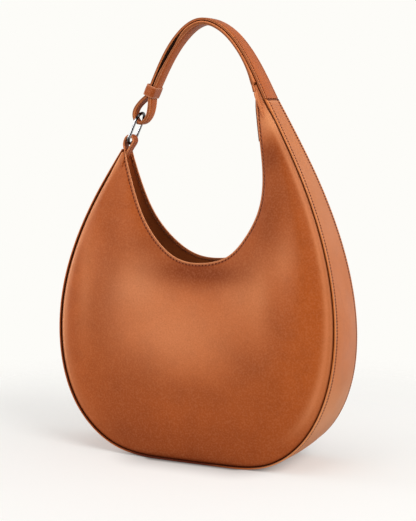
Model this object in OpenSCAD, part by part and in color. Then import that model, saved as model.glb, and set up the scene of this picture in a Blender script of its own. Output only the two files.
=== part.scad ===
// Half moon leather shoulder bag: two crowned panels set into a tapering gusset, which rises on
// one side into a horn. A strip doubled over a ring joins the horn to the tab on the other side.
// X runs across the bag, Y from front to back and Z up. The base rests on Z = 0.

/* [Body] */
// Width of the half moon body
body_w = 330; // [300:5:350]
// Height of the end of the horn, where the strap is sewn on
horn_h = 388; // [368:4:408]
// Height of the lowest point of the rim above the base
rim_h = 212.7; // [204.7:1:218.7]
// Width of the gusset at the base, front to back
body_d = 93; // [80:1:105]
// Gap between the front and back rims at the middle of the mouth, as a share of body_d
mouth_share = 0.624; // [0.52:0.01:0.66]
// Swell of each panel outwards from the flat
crown = 12; // [6:1:16]
// Swell of the gusset between its two edges
gusset_swell = 3; // [1:0.5:4]
// Width of the gusset at the tab end
tip_w = 17.6; // [17:0.2:20]
// Width of the gusset and the strap at the end of the horn
horn_w = 35; // [32:1:38]
// Gap between the rims at the end of the horn
throat_w = 27; // [24:1:29]
// Depth by which a panel sits back from the edge of the gusset
edge_inset = 2.6; // [1.5:0.1:4]

/* [Leather] */
// Thickness of the gusset leather
gusset_t = 2; // [1.4:0.1:2.4]
// Thickness of the panel leather
panel_t = 1.7; // [1.2:0.1:2]
// Thickness of the facing behind the rim
facing_t = 1.2; // [0.8:0.1:1.5]
// Depth of the facing below the rim
facing_w = 24; // [18:1:30]
// Thickness of the lining
lining_t = 0.8; // [0.6:0.1:1.2]
// Thickness of the stiffening board in the base
board_t = 1.6; // [1:0.1:2.4]
// Thickness of the strip that closes the throat of the horn
throat_t = 1.2; // [0.8:0.1:1.4]
// Length of the strip that closes the throat of the horn
throat_l = 46; // [36:1:56]

/* [Strap] */
// Rise of the strap above the end of the horn
strap_rise = 84; // [76:2:96]
// Thickness of the strap leather
strap_t = 2.1; // [1.6:0.1:2.3]
// Width of the strap at the keeper
strap_w = 15.4; // [14:0.2:16.4]
// Width of the strap where it turns round the ring
loop_w = 14.2; // [12:0.2:14.6]
// Distance over both layers of the strap at the keeper
stack_t = 6.2; // [5.4:0.1:6.8]
// Lean of the strap from the vertical at the keeper
strap_lean = 27; // [24:1:30]
// Width of the loop round the ring
loop_span = 20; // [18:0.5:22]
// Length of the loop round the ring below the keeper
loop_l = 32; // [30:0.5:34]
// Space between the horn and the layers of the strap that lap over it
lap_gap = 0.8; // [0.6:0.1:1.2]
// Length of the gusset's tongue under the strap
tongue_l = 12; // [8:1:14]
// Length of the keeper along the strap
keeper_l = 12.4; // [9:0.2:13]
// Thickness of the keeper leather
keeper_t = 1.6; // [1.2:0.1:2]
// Space between the keeper and the strap's edges
keeper_gap = 0.4; // [0.3:0.05:0.6]
// Space between the keeper and the strap's faces
keeper_slack = 0.7; // [0.4:0.1:1]

/* [Ring and tab] */
// Diameter of the ring's wire
wire_d = 3.1; // [2.6:0.1:3.4]
// Inner width of the ring
ring_w = 16; // [15.4:0.2:17]
// Inner length of the ring
ring_l = 33.9; // [32:0.1:36]
// Lean of the ring from the vertical
ring_lean = 25; // [20:1:28]
// Thickness of the tab leather
tab_t = 2; // [1.6:0.1:2.2]
// Width of the tab
tab_w = 12.2; // [10:0.2:12.6]
// Inner radius of the tab's loop
tab_r = 4.5; // [4.2:0.1:5]
// Length by which the tab's loop is longer than it is wide
tab_stretch = 2.2; // [1.6:0.2:3]
// Length of the tab's two legs inside the bag
tab_leg_l = 18; // [12:1:22]

/* [Inside] */
// Outer diameter of the magnetic snap
snap_d = 16; // [12:1:18]
// Thickness of each half of the snap
snap_t = 2.4; // [1.6:0.2:3]
// Diameter of the snap's stud and its seat
stud_d = 6; // [4:0.5:7]
// Distance from the rim to the middle of the snap
snap_drop = 13; // [11:1:14]

/* [Hidden] */

// Space left between two layers that are sewn or glued face to face
seam_gap = 0.2;
// Space left beside a piece that lies loose or is cut to fit between others
fit_gap = 0.4;
// Length of the ramp that sinks the gusset under the strap, and of the level part above it
lap_ramp_l = 22;
lap_flat_l = 6;
lap_depth = strap_t + lap_gap;
// Distance over both layers of the strap at the end of its inner layer, and how far that end is
// from the seam at the end of the outer layer
horn_stack = 15;
inner_end_l = 12;
// How far the flat of the edge inset takes to grow from each end of the gusset
inset_ramp_l = 60;
// Run over which the lining climbs onto the base board
board_ramp_l = 16;
// Radius of the corners of the keeper
keeper_r = 2.2;
// Depth of the seat in the snap's socket, and height of its stud
stud_h = 1.6;
// Overrun of cuts past a face
overrun = 1;
wire_r = wire_d / 2;
mouth_d = mouth_share * body_d;

// Outer edge of the gusset seen from the front, from the tab round the base to the horn:
// each place is a share of body_w and a share of horn_h
outline_shares = [[-0.287, 0.856], [-0.393, 0.711], [-0.466, 0.567], [-0.505, 0.42],
    [-0.489, 0.258], [-0.421, 0.116], [-0.296, 0.027], [-0.176, 0], [-0.076, 0], [0.024, 0],
    [0.124, 0], [0.224, 0], [0.314, 0.018], [0.404, 0.093], [0.475, 0.214], [0.507, 0.369],
    [0.482, 0.557], [0.388, 0.773], [0.237, 1]];
// Rim seen from the front, from the tab to the horn: shares of body_w and of the height between
// the lowest point of the rim and the end of the horn
rim_shares = [[-0.264, 0.65], [-0.218, 0.305], [-0.141, 0.117], [-0.059, 0.006], [0.037, 0],
    [0.128, 0.041], [0.187, 0.169], [0.236, 0.333], [0.246, 0.541], [0.22, 0.795]];
// Width of the gusset between its two ends, as shares of body_d
gusset_width_shares = [0.43, 0.71, 0.946, 1.032, 0.946, 0.72, 0.51];
// Gap between the rims between the two ends of the mouth, as shares of mouth_d
mouth_shares = [0.43, 0.81, 1.05, 1.01, 0.79];
// Swell of the gusset along its length
swell_shares = [0, 0.8, 1, 0, 0, 0, 0, 0.9, 0.6, 0.3, 0];
// Line of the strap's outer face from the horn to the keeper: shares of the run from the keeper
// to the horn, and of strap_rise
strap_shares = [[1, 0], [0.862, 0.465], [0.723, 0.8], [0.582, 0.955], [0.451, 1], [0.322, 0.89],
    [0.206, 0.665], [0.127, 0.437], [0.065, 0.222], [0, 0]];
// Width of the strap from the horn to the keeper, between strap_w and horn_w
strap_width_shares = [1, 0.89, 0.67, 0.44, 0.24, 0.08, 0, 0];
// Distance over both layers of the strap, from the horn to the keeper, as shares of stack_t
stack_shares = [1.19, 0.94, 0.94, 0.97, 1.06, 1, 1];
// Middle of the leather round the loop, seen from the front: shares of loop_span to each side
// and of loop_l below the keeper
loop_shares = [[-0.205, 0.156], [-0.35, 0.39], [-0.465, 0.625], [-0.375, 0.862],
    [-0.035, 0.994], [0.315, 0.894], [0.44, 0.625], [0.31, 0.344], [0.195, 0.14]];
// Place of the ring's lower wire in the foot of the tab's loop, as shares of the room there, and
// of its upper wire in the strap's loop, as shares of loop_span and loop_l from the keeper
wire_seat_share = [-0.44, -0.71];
wire_top_share = [-0.107, 0.665];
// Middle of the tab's loop from the end of the gusset, as shares of tab_r
tab_place_share = [1.38, 1.82];
// Top and foot of the slip pocket between rim and base
pocket_depth_shares = [0.3, 0.72];
// Place of the snap along the mouth
snap_t_share = 0.5;
// Furthest that the facing reaches down towards the gusset
facing_foot_share = 0.86;
// Stations along the gusset and the mouth, shared by every sheet so that their layers lie true,
// and the first and last station of the sheets that stop short of the two ends
stations = 64;
facing_span = [2, 62];
lining_span = [4, 60];
strip_span = [5, 58];
board_span = [26, 34];
pocket_span = [22, 38];
// Steps across the sheets, from rim to base or from front to back
panel_cols = 8;
gusset_cols = 4;
facing_cols = 1;
lining_cols = 6;
strip_cols = 2;
pocket_cols = 3;
// Steps along each run of the strap, round its loop and along the throat
strap_steps = 44;
loop_steps = 36;
throat_steps = 14;
// Steps of the tables that turn a length into a place on a curve
table_steps = 160;
probe_share = 0.002;

// Uniform cubic curve through the two end points of a list, at a share u of its spans
function curve(p, u) =
    let (
        last = len(p) - 1,
        k = max(0, min(floor(u * last), last - 1)),
        t = u * last - k,
        s = 1 - t,
        a = k > 0 ? p[k - 1] : 2 * p[0] - p[1],
        d = k + 2 <= last ? p[k + 2] : 2 * p[last] - p[last - 1]
    )
    (s ^ 3 * a + (3 * t ^ 3 - 6 * t ^ 2 + 4) * p[k] + (3 * s ^ 3 - 6 * s ^ 2 + 4) * p[k + 1]
        + t ^ 3 * d) / 6;

// Direction of travel along such a curve
function heading(p, u) =
    let (d = curve(p, min(1, u + probe_share)) - curve(p, max(0, u - probe_share)))
    d / norm(d);

// Table of [length, share] along a curve, for finding the share at a given length
function length_table(p) =
    let (q = [for (i = [0:table_steps]) curve(p, i / table_steps)])
    [for (i = 0, l = 0; i <= table_steps;
        i = i + 1, l = l + (i <= table_steps ? norm(q[i] - q[i - 1]) : 0))
        [l, i / table_steps]];

function left_of(v) = [-v[1], v[0]];
function smooth(x) = let (c = max(0, min(1, x))) c * c * (3 - 2 * c);
function unit(v) = v / norm(v);

// Outline of the body, its length, and its point and inward direction at a length from the tab.
// Past the seam it runs on straight as a tongue, sunk by the lap under the strap.
outline = [for (s = outline_shares) [s[0] * body_w, s[1] * horn_h]];
outline_table = length_table(outline);
outline_l = outline_table[table_steps][0];
gusset_l = outline_l + tongue_l;
function lap_drop(l) = lap_depth * smooth((l - outline_l + lap_flat_l + lap_ramp_l) / lap_ramp_l);
function gusset_point(l, depth) =
    let (
        on = min(l, outline_l),
        u = lookup(on, outline_table),
        run = heading(outline, u)
    )
    curve(outline, u) + (l - on) * run + (lap_drop(l) + depth) * left_of(run);
gusset_widths = concat([tip_w], [for (s = gusset_width_shares) s * body_d], [horn_w]);
function gusset_width(l) = curve(gusset_widths, l / gusset_l);
function swell_at(l) = gusset_swell * curve(swell_shares, l / gusset_l);
function inset_at(l) =
    seam_gap + (edge_inset - seam_gap) * smooth(min(l, gusset_l - l) / inset_ramp_l);

// Strap end of the rim: the panels end between the two layers of the strap
throat_end = gusset_point(gusset_l, gusset_t + seam_gap + panel_t);
rim = concat([for (s = rim_shares) [s[0] * body_w, rim_h + s[1] * (horn_h - rim_h)]], [throat_end]);
rim_table = length_table(rim);
rim_l = rim_table[table_steps][0];
mouth_gaps = concat([tip_w], [for (s = mouth_shares) s * mouth_d], [throat_w]);
function rim_point(l, side) =
    let (u = lookup(l, rim_table))
    curve(rim, u) + side * left_of(heading(rim, u));
function mouth_gap(t) = curve(mouth_gaps, t);

// Front panel's outer surface: t runs along the mouth and v from the rim to the gusset
function ruling_l(t) = norm(gusset_point(t * gusset_l, gusset_t + seam_gap) - rim_point(t * rim_l, 0));
deepest = max([for (i = [0:stations]) ruling_l(i / stations)]);
function panel_point(t, v) =
    let (
        l = t * gusset_l,
        top = rim_point(t * rim_l, 0),
        foot = gusset_point(l, gusset_t + seam_gap),
        place = top + v * (foot - top),
        flat_y = (1 - v) * mouth_gap(t) / 2 + v * (gusset_width(l) / 2 - inset_at(l)),
        swell = crown * norm(foot - top) / deepest * 4 * v * (1 - v)
    )
    [place[0], -flat_y - swell, place[1]];
function panel_inward(t, v) =
    let (
        along = panel_point(min(1, t + probe_share), v) - panel_point(max(0, t - probe_share), v),
        down = panel_point(t, min(1, v + probe_share)) - panel_point(t, max(0, v - probe_share))
    )
    unit(cross(along, down));
// The layers of the front lie one behind the other, so that none leans into the gusset
function panel_layer(t, v, depth) = panel_point(t, v) + [0, depth, 0];
// Depths of the layers behind the panel
inner_depth = panel_t + fit_gap;
pocket_depth = inner_depth + lining_t + fit_gap;
// Where the facing ends below the rim, as a share of the way to the gusset
function facing_foot(t) = min(facing_foot_share, facing_w / ruling_l(t));

// Closed solid between two grids of points that face each other
module sheet(outer, inner) {
    rows = len(outer);
    cols = len(outer[0]);
    count = rows * cols;
    function at(side, i, j) = side * count + i * cols + j;
    function quad(a, b, c, d) = [[a, c, b], [a, d, c]];
    faces = [
        for (i = [0:rows - 2])
            for (j = [0:cols - 2])
                for (f = concat(
                    quad(at(0, i, j), at(0, i, j + 1), at(0, i + 1, j + 1), at(0, i + 1, j)),
                    quad(at(1, i, j), at(1, i + 1, j), at(1, i + 1, j + 1), at(1, i, j + 1))))
                    f,
        for (i = [0:rows - 2])
            for (f = concat(
                quad(at(0, i, 0), at(0, i + 1, 0), at(1, i + 1, 0), at(1, i, 0)),
                quad(at(0, i + 1, cols - 1), at(0, i, cols - 1),
                    at(1, i, cols - 1), at(1, i + 1, cols - 1))))
                f,
        for (j = [0:cols - 2])
            for (f = concat(
                quad(at(0, 0, j + 1), at(0, 0, j), at(1, 0, j), at(1, 0, j + 1)),
                quad(at(0, rows - 1, j), at(0, rows - 1, j + 1),
                    at(1, rows - 1, j + 1), at(1, rows - 1, j))))
                f
    ];
    points = [
        for (side = [outer, inner])
            for (row = side)
                for (p = row)
                    p
    ];
    polyhedron(points = points, faces = faces);
}

// Stations of a sheet that runs from the first to the last of a span
function steps_of(span) = [for (i = [span[0]:span[1]]) i / stations];

// Layer of the front panel, from a depth inwards. top and foot are functions of the share t along
// the mouth that give the share of the way from the rim to the gusset.
module panel_sheet(span, depth, thickness, top, foot, cols) {
    function layer(z) = [
        for (t = steps_of(span))
            [for (j = [0:cols]) panel_layer(t, top(t) + (foot(t) - top(t)) * j / cols, z)]
    ];
    sheet(layer(depth), layer(depth + thickness));
}

// Strip along the gusset, from a depth below its outer face. depth and set_in are functions of
// the length l along the gusset, and set_in is the space to each edge of the gusset.
module gusset_strip(span, depth, thickness, set_in, cols) {
    function layer(extra) = [
        for (t = steps_of(span))
            let (
                l = t * gusset_l,
                half = gusset_width(l) / 2 - set_in(l)
            )
            [for (j = [0:cols])
                let (
                    k = 2 * j / cols - 1,
                    p = gusset_point(l, depth(l) + extra - swell_at(l) * (1 - k * k))
                )
                [p[0], k * half, p[1]]]
    ];
    sheet(layer(0), layer(thickness));
}

module front_panel() {
    color("sienna") panel_sheet([0, stations], 0, panel_t, function(t) 0, function(t) 1, panel_cols);
}

module back_panel() {
    mirror([0, 1, 0]) front_panel();
}

module gusset() {
    color("peru") gusset_strip([0, stations], function(l) 0, gusset_t, function(l) 0, gusset_cols);
}

module front_facing() {
    color("saddlebrown")
        panel_sheet(facing_span, inner_depth, facing_t, function(t) 0,
            function(t) facing_foot(t), facing_cols);
}

module back_facing() {
    mirror([0, 1, 0]) front_facing();
}

module front_lining() {
    color("#4a2a1c")
        panel_sheet(lining_span, inner_depth, lining_t,
            function(t) facing_foot(t) + fit_gap / ruling_l(t),
            function(t) 1 - fit_gap / ruling_l(t), lining_cols);
}

module back_lining() {
    mirror([0, 1, 0]) front_lining();
}

// Ends of the board along the gusset, and the rise of the gusset's lining over it
board_ends = [for (i = board_span) i / stations * gusset_l];
function over_board(l) =
    (board_t + seam_gap) * smooth((l - board_ends[0]) / board_ramp_l + 1)
        * smooth((board_ends[1] - l) / board_ramp_l + 1);
// Space from the gusset's edge to the strips inside it: past the panel and its lining
function past_lining(l) = inset_at(l) + inner_depth + lining_t + fit_gap;

module gusset_lining() {
    color("#4a2a1c") gusset_strip(strip_span, function(l) gusset_t + seam_gap + over_board(l),
        lining_t, function(l) past_lining(l), strip_cols);
}

module base_board() {
    color("dimgray") gusset_strip(board_span, function(l) gusset_t + seam_gap, board_t,
        function(l) past_lining(l) + fit_gap, strip_cols);
}

module slip_pocket() {
    mirror([0, 1, 0]) color("#59341f")
        panel_sheet(pocket_span, pocket_depth, lining_t, function(t) pocket_depth_shares[0],
            function(t) pocket_depth_shares[1], pocket_cols);
}

// Strip over the two rim edges that closes the throat of the horn
module throat_strip() {
    function layer(side) = [
        for (i = [0:throat_steps])
            let (
                l = rim_l - throat_l + throat_l * i / throat_steps,
                half = mouth_gap(l / rim_l) / 2,
                p = rim_point(l, side)
            )
            [[p[0], -half, p[1]], [p[0], half, p[1]]]
    ];
    color("saddlebrown") sheet(layer(seam_gap), layer(seam_gap + throat_t));
}

// Tab: its loop stands at the end of the gusset and its two legs lie along the gusset's inner face
tip = outline[0];
tab_run = heading(outline, 0);
tab_in = left_of(tab_run);
tab_mid = tip + [for (s = tab_place_share) s * tab_r];
module stadium(radius, stretch) {
    square([2 * radius, stretch], center = true);
    for (z = [-stretch / 2, stretch / 2])
        translate([0, z])
            circle(r = radius, $fn = 64);
}
module ring_tab() {
    leg_near = gusset_t + fit_gap;
    leg_far = leg_near + 2 * tab_t;
    near_up = tip + leg_near * tab_in - fit_gap * tab_run;
    near_down = tip + leg_near * tab_in + tab_leg_l * tab_run;
    far_down = tip + leg_far * tab_in + tab_leg_l * tab_run;
    outer_r = tab_r + tab_t;
    color("chocolate") rotate([90, 0, 0]) linear_extrude(height = tab_w, center = true)
        difference() {
            union() {
                translate(tab_mid) stadium(outer_r, tab_stretch);
                polygon([near_down, far_down, tab_mid + [outer_r, -tab_stretch / 2],
                    tab_mid - [outer_r, 0], near_up]);
            }
            translate(tab_mid) stadium(tab_r, tab_stretch);
        }
}

// Ring: two straight wires joined by two half turns, standing in the tab's loop
wire_mid_r = (ring_w + wire_d) / 2;
ring_reach = ring_l + wire_d;
ring_foot = tab_mid - [0, tab_stretch / 2] + [for (s = wire_seat_share) s * (tab_r - wire_r)];
ring_up = [sin(ring_lean), cos(ring_lean)];
ring_head = ring_foot + ring_reach * ring_up;
module half_turn() {
    rotate([90, 0, 90])
        rotate_extrude(angle = 180, $fn = 96)
            translate([wire_mid_r, 0])
                circle(r = wire_r, $fn = 48);
}
module ring() {
    straight = ring_reach - 2 * wire_mid_r;
    color("silver") translate([ring_foot[0], 0, ring_foot[1]]) rotate([0, ring_lean, 0])
        translate([0, 0, wire_mid_r]) {
            translate([0, 0, straight]) half_turn();
            rotate([180, 0, 0]) half_turn();
            for (side = [-1, 1])
                translate([0, side * wire_mid_r, 0])
                    cylinder(r = wire_r, h = straight, $fn = 48);
        }
}

// Strap: the place of its outer face at the keeper follows from the ring's upper wire
strap_down = [-sin(strap_lean), -cos(strap_lean)];
strap_in = left_of(strap_down);
strap_foot = ring_head - wire_top_share[1] * loop_l * strap_down
    - (stack_t / 2 + wire_top_share[0] * loop_span) * strap_in;
horn_end = outline[len(outline) - 1];
strap_line = [for (s = strap_shares) strap_foot + s[0] * (horn_end - strap_foot) + [0, s[1] * strap_rise]];
strap_table = length_table(strap_line);
strap_l = strap_table[table_steps][0];
stack_spans = concat([horn_stack], [for (s = stack_shares) s * stack_t]);
function strap_point(l, depth) =
    let (u = lookup(l, strap_table))
    curve(strap_line, u) + depth * left_of(heading(strap_line, u));
function stack_at(l) = curve(stack_spans, l / strap_l);
function strap_width(l) = strap_w + (horn_w - strap_w) * curve(strap_width_shares, l / strap_l);

// Middle line and width of the whole strip: outer layer, loop, then inner layer back to the horn
outer_ls = [for (i = [0:strap_steps]) strap_l * i / strap_steps];
inner_ls = [for (i = [0:strap_steps]) strap_l - (strap_l - inner_end_l) * i / strap_steps];
loop_us = [for (i = [1:loop_steps - 1]) i / loop_steps];
loop_points = concat(
    [[strap_t / 2, 0]],
    [for (s = loop_shares) [stack_t / 2 + s[0] * loop_span, s[1] * loop_l]],
    [[stack_t - strap_t / 2, 0]]);
strip_run = concat(
    [for (l = outer_ls) strap_point(l, strap_t / 2)],
    [for (u = loop_us) let (q = curve(loop_points, u)) strap_foot + q[0] * strap_in + q[1] * strap_down],
    [for (l = inner_ls) strap_point(l, stack_at(l) - strap_t / 2)]);
strip_width = concat(
    [for (l = outer_ls) strap_width(l)],
    [for (u = loop_us) loop_w + (strap_w - loop_w) * abs(2 * u - 1)],
    [for (l = inner_ls) strap_width(l)]);

module strap() {
    last = len(strip_run) - 1;
    function side_at(i) = left_of(unit(strip_run[min(last, i + 1)] - strip_run[max(0, i - 1)]));
    function layer(side) = [
        for (i = [0:last])
            let (p = strip_run[i] + side * strap_t / 2 * side_at(i))
            [[p[0], -strip_width[i] / 2, p[1]], [p[0], strip_width[i] / 2, p[1]]]
    ];
    color("chocolate") sheet(layer(-1), layer(1));
}

// Keeper: a closed band round both layers of the strap, just above the loop
module rounded_plate(size, radius) {
    square([size[0] - 2 * radius, size[1]], center = true);
    square([size[0], size[1] - 2 * radius], center = true);
    for (x = [-1, 1])
        for (y = [-1, 1])
            translate([x * (size[0] / 2 - radius), y * (size[1] / 2 - radius)])
                circle(r = radius, $fn = 48);
}
module keeper() {
    hole = [stack_t + 2 * keeper_slack, strap_w + 2 * keeper_gap];
    place = strap_foot + stack_t / 2 * strap_in;
    color("peru") translate([place[0], 0, place[1]]) rotate([0, strap_lean, 0])
        linear_extrude(height = keeper_l)
            difference() {
                rounded_plate(hole + 2 * [keeper_t, keeper_t], keeper_r);
                rounded_plate(hole, keeper_r - keeper_t);
            }
}

// Place of the snap on the front facing, and the way it faces
module on_front_facing() {
    v = snap_drop / ruling_l(snap_t_share);
    way = panel_inward(snap_t_share, v);
    place = panel_layer(snap_t_share, v, inner_depth + facing_t) + fit_gap * way;
    translate(place) rotate([0, acos(way[2]), atan2(way[1], way[0])]) children();
}
module snap_stud() {
    color("gold") on_front_facing() {
        cylinder(d = snap_d, h = snap_t, $fn = 64);
        cylinder(d = stud_d, h = snap_t + stud_h, $fn = 48);
    }
}
module snap_socket() {
    seat_d = stud_d + fit_gap;
    color("gold") mirror([0, 1, 0]) on_front_facing()
        difference() {
            cylinder(d = snap_d, h = snap_t, $fn = 64);
            translate([0, 0, snap_t - stud_h]) cylinder(d = seat_d, h = stud_h + overrun, $fn = 48);
        }
}

front_panel();
back_panel();
gusset();
front_facing();
back_facing();
front_lining();
back_lining();
gusset_lining();
base_board();
slip_pocket();
throat_strip();
ring_tab();
snap_socket();
snap_stud();
strap();
keeper();
ring();
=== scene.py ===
"""Dresses the half moon bag. Each leather piece is a surface worked out from the curves that the
solids follow, with its turned edges, channels and stitches. Lengths are in millimetres until a mesh
is made. X runs across the bag, Y from front to back and Z up."""

import bpy
import numpy as np
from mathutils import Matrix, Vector


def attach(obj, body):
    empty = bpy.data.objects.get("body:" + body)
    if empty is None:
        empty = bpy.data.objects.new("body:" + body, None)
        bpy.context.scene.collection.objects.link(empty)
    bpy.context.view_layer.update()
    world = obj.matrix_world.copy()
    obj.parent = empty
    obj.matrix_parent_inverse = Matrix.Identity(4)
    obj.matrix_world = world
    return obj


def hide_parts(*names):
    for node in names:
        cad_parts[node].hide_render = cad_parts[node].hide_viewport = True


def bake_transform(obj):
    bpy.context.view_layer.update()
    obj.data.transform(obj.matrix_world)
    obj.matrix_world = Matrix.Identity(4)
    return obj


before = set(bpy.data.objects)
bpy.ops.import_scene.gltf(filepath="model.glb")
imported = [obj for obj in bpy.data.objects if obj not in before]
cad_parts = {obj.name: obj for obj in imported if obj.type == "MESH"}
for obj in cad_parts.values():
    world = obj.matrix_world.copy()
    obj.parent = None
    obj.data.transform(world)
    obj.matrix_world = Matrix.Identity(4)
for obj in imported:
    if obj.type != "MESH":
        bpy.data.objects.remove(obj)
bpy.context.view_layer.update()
MM = 0.001

# Sizes shared by several pieces
GUSSET_T = 2.0
PANEL_T = 1.7
FACING_T = 1.0
LINING_T = 0.8
STRAP_T = 2.3
SEAM = 0.2
INSET = 1.8
LIP_T = 1.7
ROLL = 2.2
LAP = 2.3
TONGUE = 17.0
WIDTH_SPAN = 24.0
RIM_STITCH = 3.2
RIM_PITCH = 4.0
GUSSET_STITCH = 4.6
GUSSET_PITCH = 3.2
STRAP_STITCH = 2.6
THREAD_R = 0.36
OVERLAP = 1.6
END_ARC = 4

# Distances before the seam at the strap at which a change begins, and the lengths that it takes
LAP_START, LAP_RISE = 32.0, 30.0
LIP_START, LIP_RISE = 70.0, 50.0
STEP_RISE = 0.8
# Length from the tab over which the panels sink behind the gusset's edges
INSET_RISE = 36.0

OUTLINE = [(-94.71, 332.13), (-129.69, 275.87), (-153.78, 220.0), (-167.0, 163), (-164.3, 98.5),
           (-140.7, 42.4), (-98.0, 8.2), (-58.08, 0), (-25.08, 0), (7.92, 0), (40.92, 0), (73.7, 0.2),
           (104.0, 7.4), (136.7, 34.6), (158.8, 81.8), (166.0, 143), (156.6, 216), (127.0, 299.6),
           (78.21, 388)]
RIM = [(-91.0, 331.0), (-71.94, 266.17), (-46.53, 233.21), (-19.47, 213.75), (12.21, 212.7),
       (42.24, 219.89), (61.3, 242.33), (77.4, 271.08), (80.2, 307.5), (71.4, 352.1)]
GUSSET_WIDTHS = [17.6, 39.99, 66.03, 87.98, 95.98, 86.5, 63.5, 45.6, 31.2]
MOUTH_GAPS = [17.6, 24.96, 47.0, 60.93, 58.6, 45.84, 30.5]
GUSSET_SWELLS = [0, 2.4, 3, 1.2, 0, 0, 2.6, 3.2, 0, 0.4, 0]
STRAP_LINE = [(78.2, 388), (58.6, 427.5), (37.9, 455.3), (18.0, 468.5), (-0.6, 472.9),
              (-19.4, 464.2), (-36.4, 445.9), (-47.8, 426.8), (-56.6, 408.8), (-65.35, 390.05)]
STACKS = [12.6, 5.9, 6.2, 6.4, 6.9, 8.3, 7.3, 6.8]
STRAP_WIDTHS = [33.2, 31.0, 27.2, 23.8, 21.2, 19.4, 18.2, 16.6]
LOOP = [(1.05, 0), (-3.0, 6.0), (-6.3, 13.8), (-8.0, 21.2), (-5.6, 29.0), (1.6, 33.4), (8.2, 29.9),
        (11.1, 20.6), (9.2, 11.01), (7, 4.48), (5.15, 0)]
LOOP_WIDTHS = [16.6, 13.0, 11.0, 10.6, 10.6, 11.6, 14.8, 16.2, 16.6]


# Curves

def spline(points, share):
    """Uniform cubic curve through the two end points. Each place is the four nearest points
    weighed by cubics of the share; the points before and after the ends are mirrored ones."""
    p = np.asarray(points, float)
    p = p[:, None] if p.ndim == 1 else p
    more = np.vstack([2 * p[0] - p[1], p, 2 * p[-1] - p[-2]])
    spans = len(p) - 1
    x = np.clip(np.asarray(share, float), 0, 1) * spans
    k = np.minimum(x.astype(int), spans - 1)
    t = (x - k)[..., None]
    s = 1 - t
    return (s ** 3 * more[k] + (3 * t ** 3 - 6 * t ** 2 + 4) * more[k + 1]
            + (3 * s ** 3 - 6 * s ** 2 + 4) * more[k + 2] + t ** 3 * more[k + 3]) / 6


def value(points, share):
    """The same curve for a list of numbers."""
    return spline(points, share)[..., 0]


def smooth(x):
    """Rises from 0 to 1 with level ends: 3 x squared less 2 x cubed."""
    x = np.clip(x, 0, 1)
    return x * x * (3 - 2 * x)


def hump(x, middle, width):
    """Bell curve of height 1."""
    return np.exp(-((x - middle) / width) ** 2)


def unit(v):
    return v / np.linalg.norm(v, axis=-1, keepdims=True)


def left_of(v):
    return np.stack([-v[..., 1], v[..., 0]], -1)


class Line:
    """A curve measured along its length, which runs on straight past its end."""

    def __init__(self, points):
        self.places = spline(points, np.linspace(0, 1, 4001))
        steps = np.linalg.norm(np.diff(self.places, axis=0), axis=1)
        self.lengths = np.concatenate([[0], np.cumsum(steps)])
        self.total = self.lengths[-1]
        self.ways = unit(np.gradient(self.places, axis=0))

    def way(self, length):
        """Direction of travel at a length."""
        return unit(np.stack([np.interp(length, self.lengths, self.ways[:, k]) for k in (0, 1)], -1))

    def at(self, length, side=0):
        """Place at a length, moved to the left by side."""
        length = np.asarray(length, float)
        on = np.clip(length, 0, self.total)
        way = self.way(on)
        place = np.stack([np.interp(on, self.lengths, self.places[:, k]) for k in (0, 1)], -1)
        side = np.broadcast_to(np.asarray(side, float), on.shape)
        return place + (length - on)[..., None] * way + side[..., None] * left_of(way)


outline = Line(OUTLINE)
gusset_l = outline.total + TONGUE


def lap_ramp(length):
    """Depth by which the layers under the strap sink before the seam: a smooth rise to LAP."""
    return LAP * smooth((length - outline.total + LAP_START) / LAP_RISE)


def lap_step(length):
    """Depth by which the gusset's outer face drops at the seam."""
    return LAP * smooth((length - outline.total + OVERLAP + STEP_RISE) / STEP_RISE)


def gusset_place(length, depth):
    """Point in XZ at a depth inside the gusset's outer face."""
    return outline.at(length, lap_ramp(length) + depth)


def gusset_width(length):
    return value(GUSSET_WIDTHS, length / (outline.total + WIDTH_SPAN))


def gusset_swell(length):
    return value(GUSSET_SWELLS, length / (outline.total + WIDTH_SPAN))


def lip(length):
    """Thickness of the gusset at its edges: LIP_T, rising smoothly to its full one before the seam."""
    return LIP_T + (GUSSET_T - LIP_T) * smooth((length - outline.total + LIP_START) / LIP_RISE)


def edge_rise(length):
    """Height by which the gusset's edges and the panels' feet stay above the sunk layer: half."""
    return 0.5 * lap_ramp(length)


def inset(length):
    """Depth of the panel behind the gusset's edge, growing smoothly over the first stretch."""
    return SEAM + (INSET - SEAM) * smooth(length / INSET_RISE)


throat_end = gusset_place(gusset_l, GUSSET_T + SEAM + PANEL_T)
rim = Line(RIM + [tuple(throat_end)])


# Sections: rows of points (across, depth) for every station of a piece

def inward(section):
    """Unit normals of rows of section points, to the left of the way they run."""
    way = unit(np.gradient(section, axis=1))
    return left_of(way)


def wrap(section, thickness, skip=1, arc=END_ARC):
    """Closed rings round a sheet: the outer row, a half circle round its end, the inner row at
    the thickness behind it, and a half circle round its start."""
    normal = inward(section)
    thick = np.broadcast_to(thickness, section.shape[:2])[..., None]
    inner = section + thick * normal
    turn = np.linspace(0, np.pi, arc + 2)[1:-1]

    def end(k, sign):
        middle = (section[:, k] + inner[:, k])[:, None] / 2
        radius = thick[:, k][:, None] / 2
        out = sign * -left_of(normal[:, k])[:, None]
        across = normal[:, k][:, None]
        c, s = np.cos(turn)[None, :, None], np.sin(turn)[None, :, None]
        return middle + radius * (-across * c + out * s)

    count = section.shape[1]
    kept = np.unique(np.concatenate([np.arange(0, count, skip), [count - 1]]))
    return np.concatenate([section, end(-1, 1), inner[:, kept[::-1]], end(0, -1)[:, ::-1]], 1), kept


def spread(values, kept):
    """Values of the outer columns carried round the rings that wrap makes."""
    last = np.repeat(values[:, -1:], END_ARC, 1)
    first = np.repeat(values[:, :1], END_ARC, 1)
    return np.concatenate([values, last, values[:, kept[::-1]], first], 1)


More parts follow.
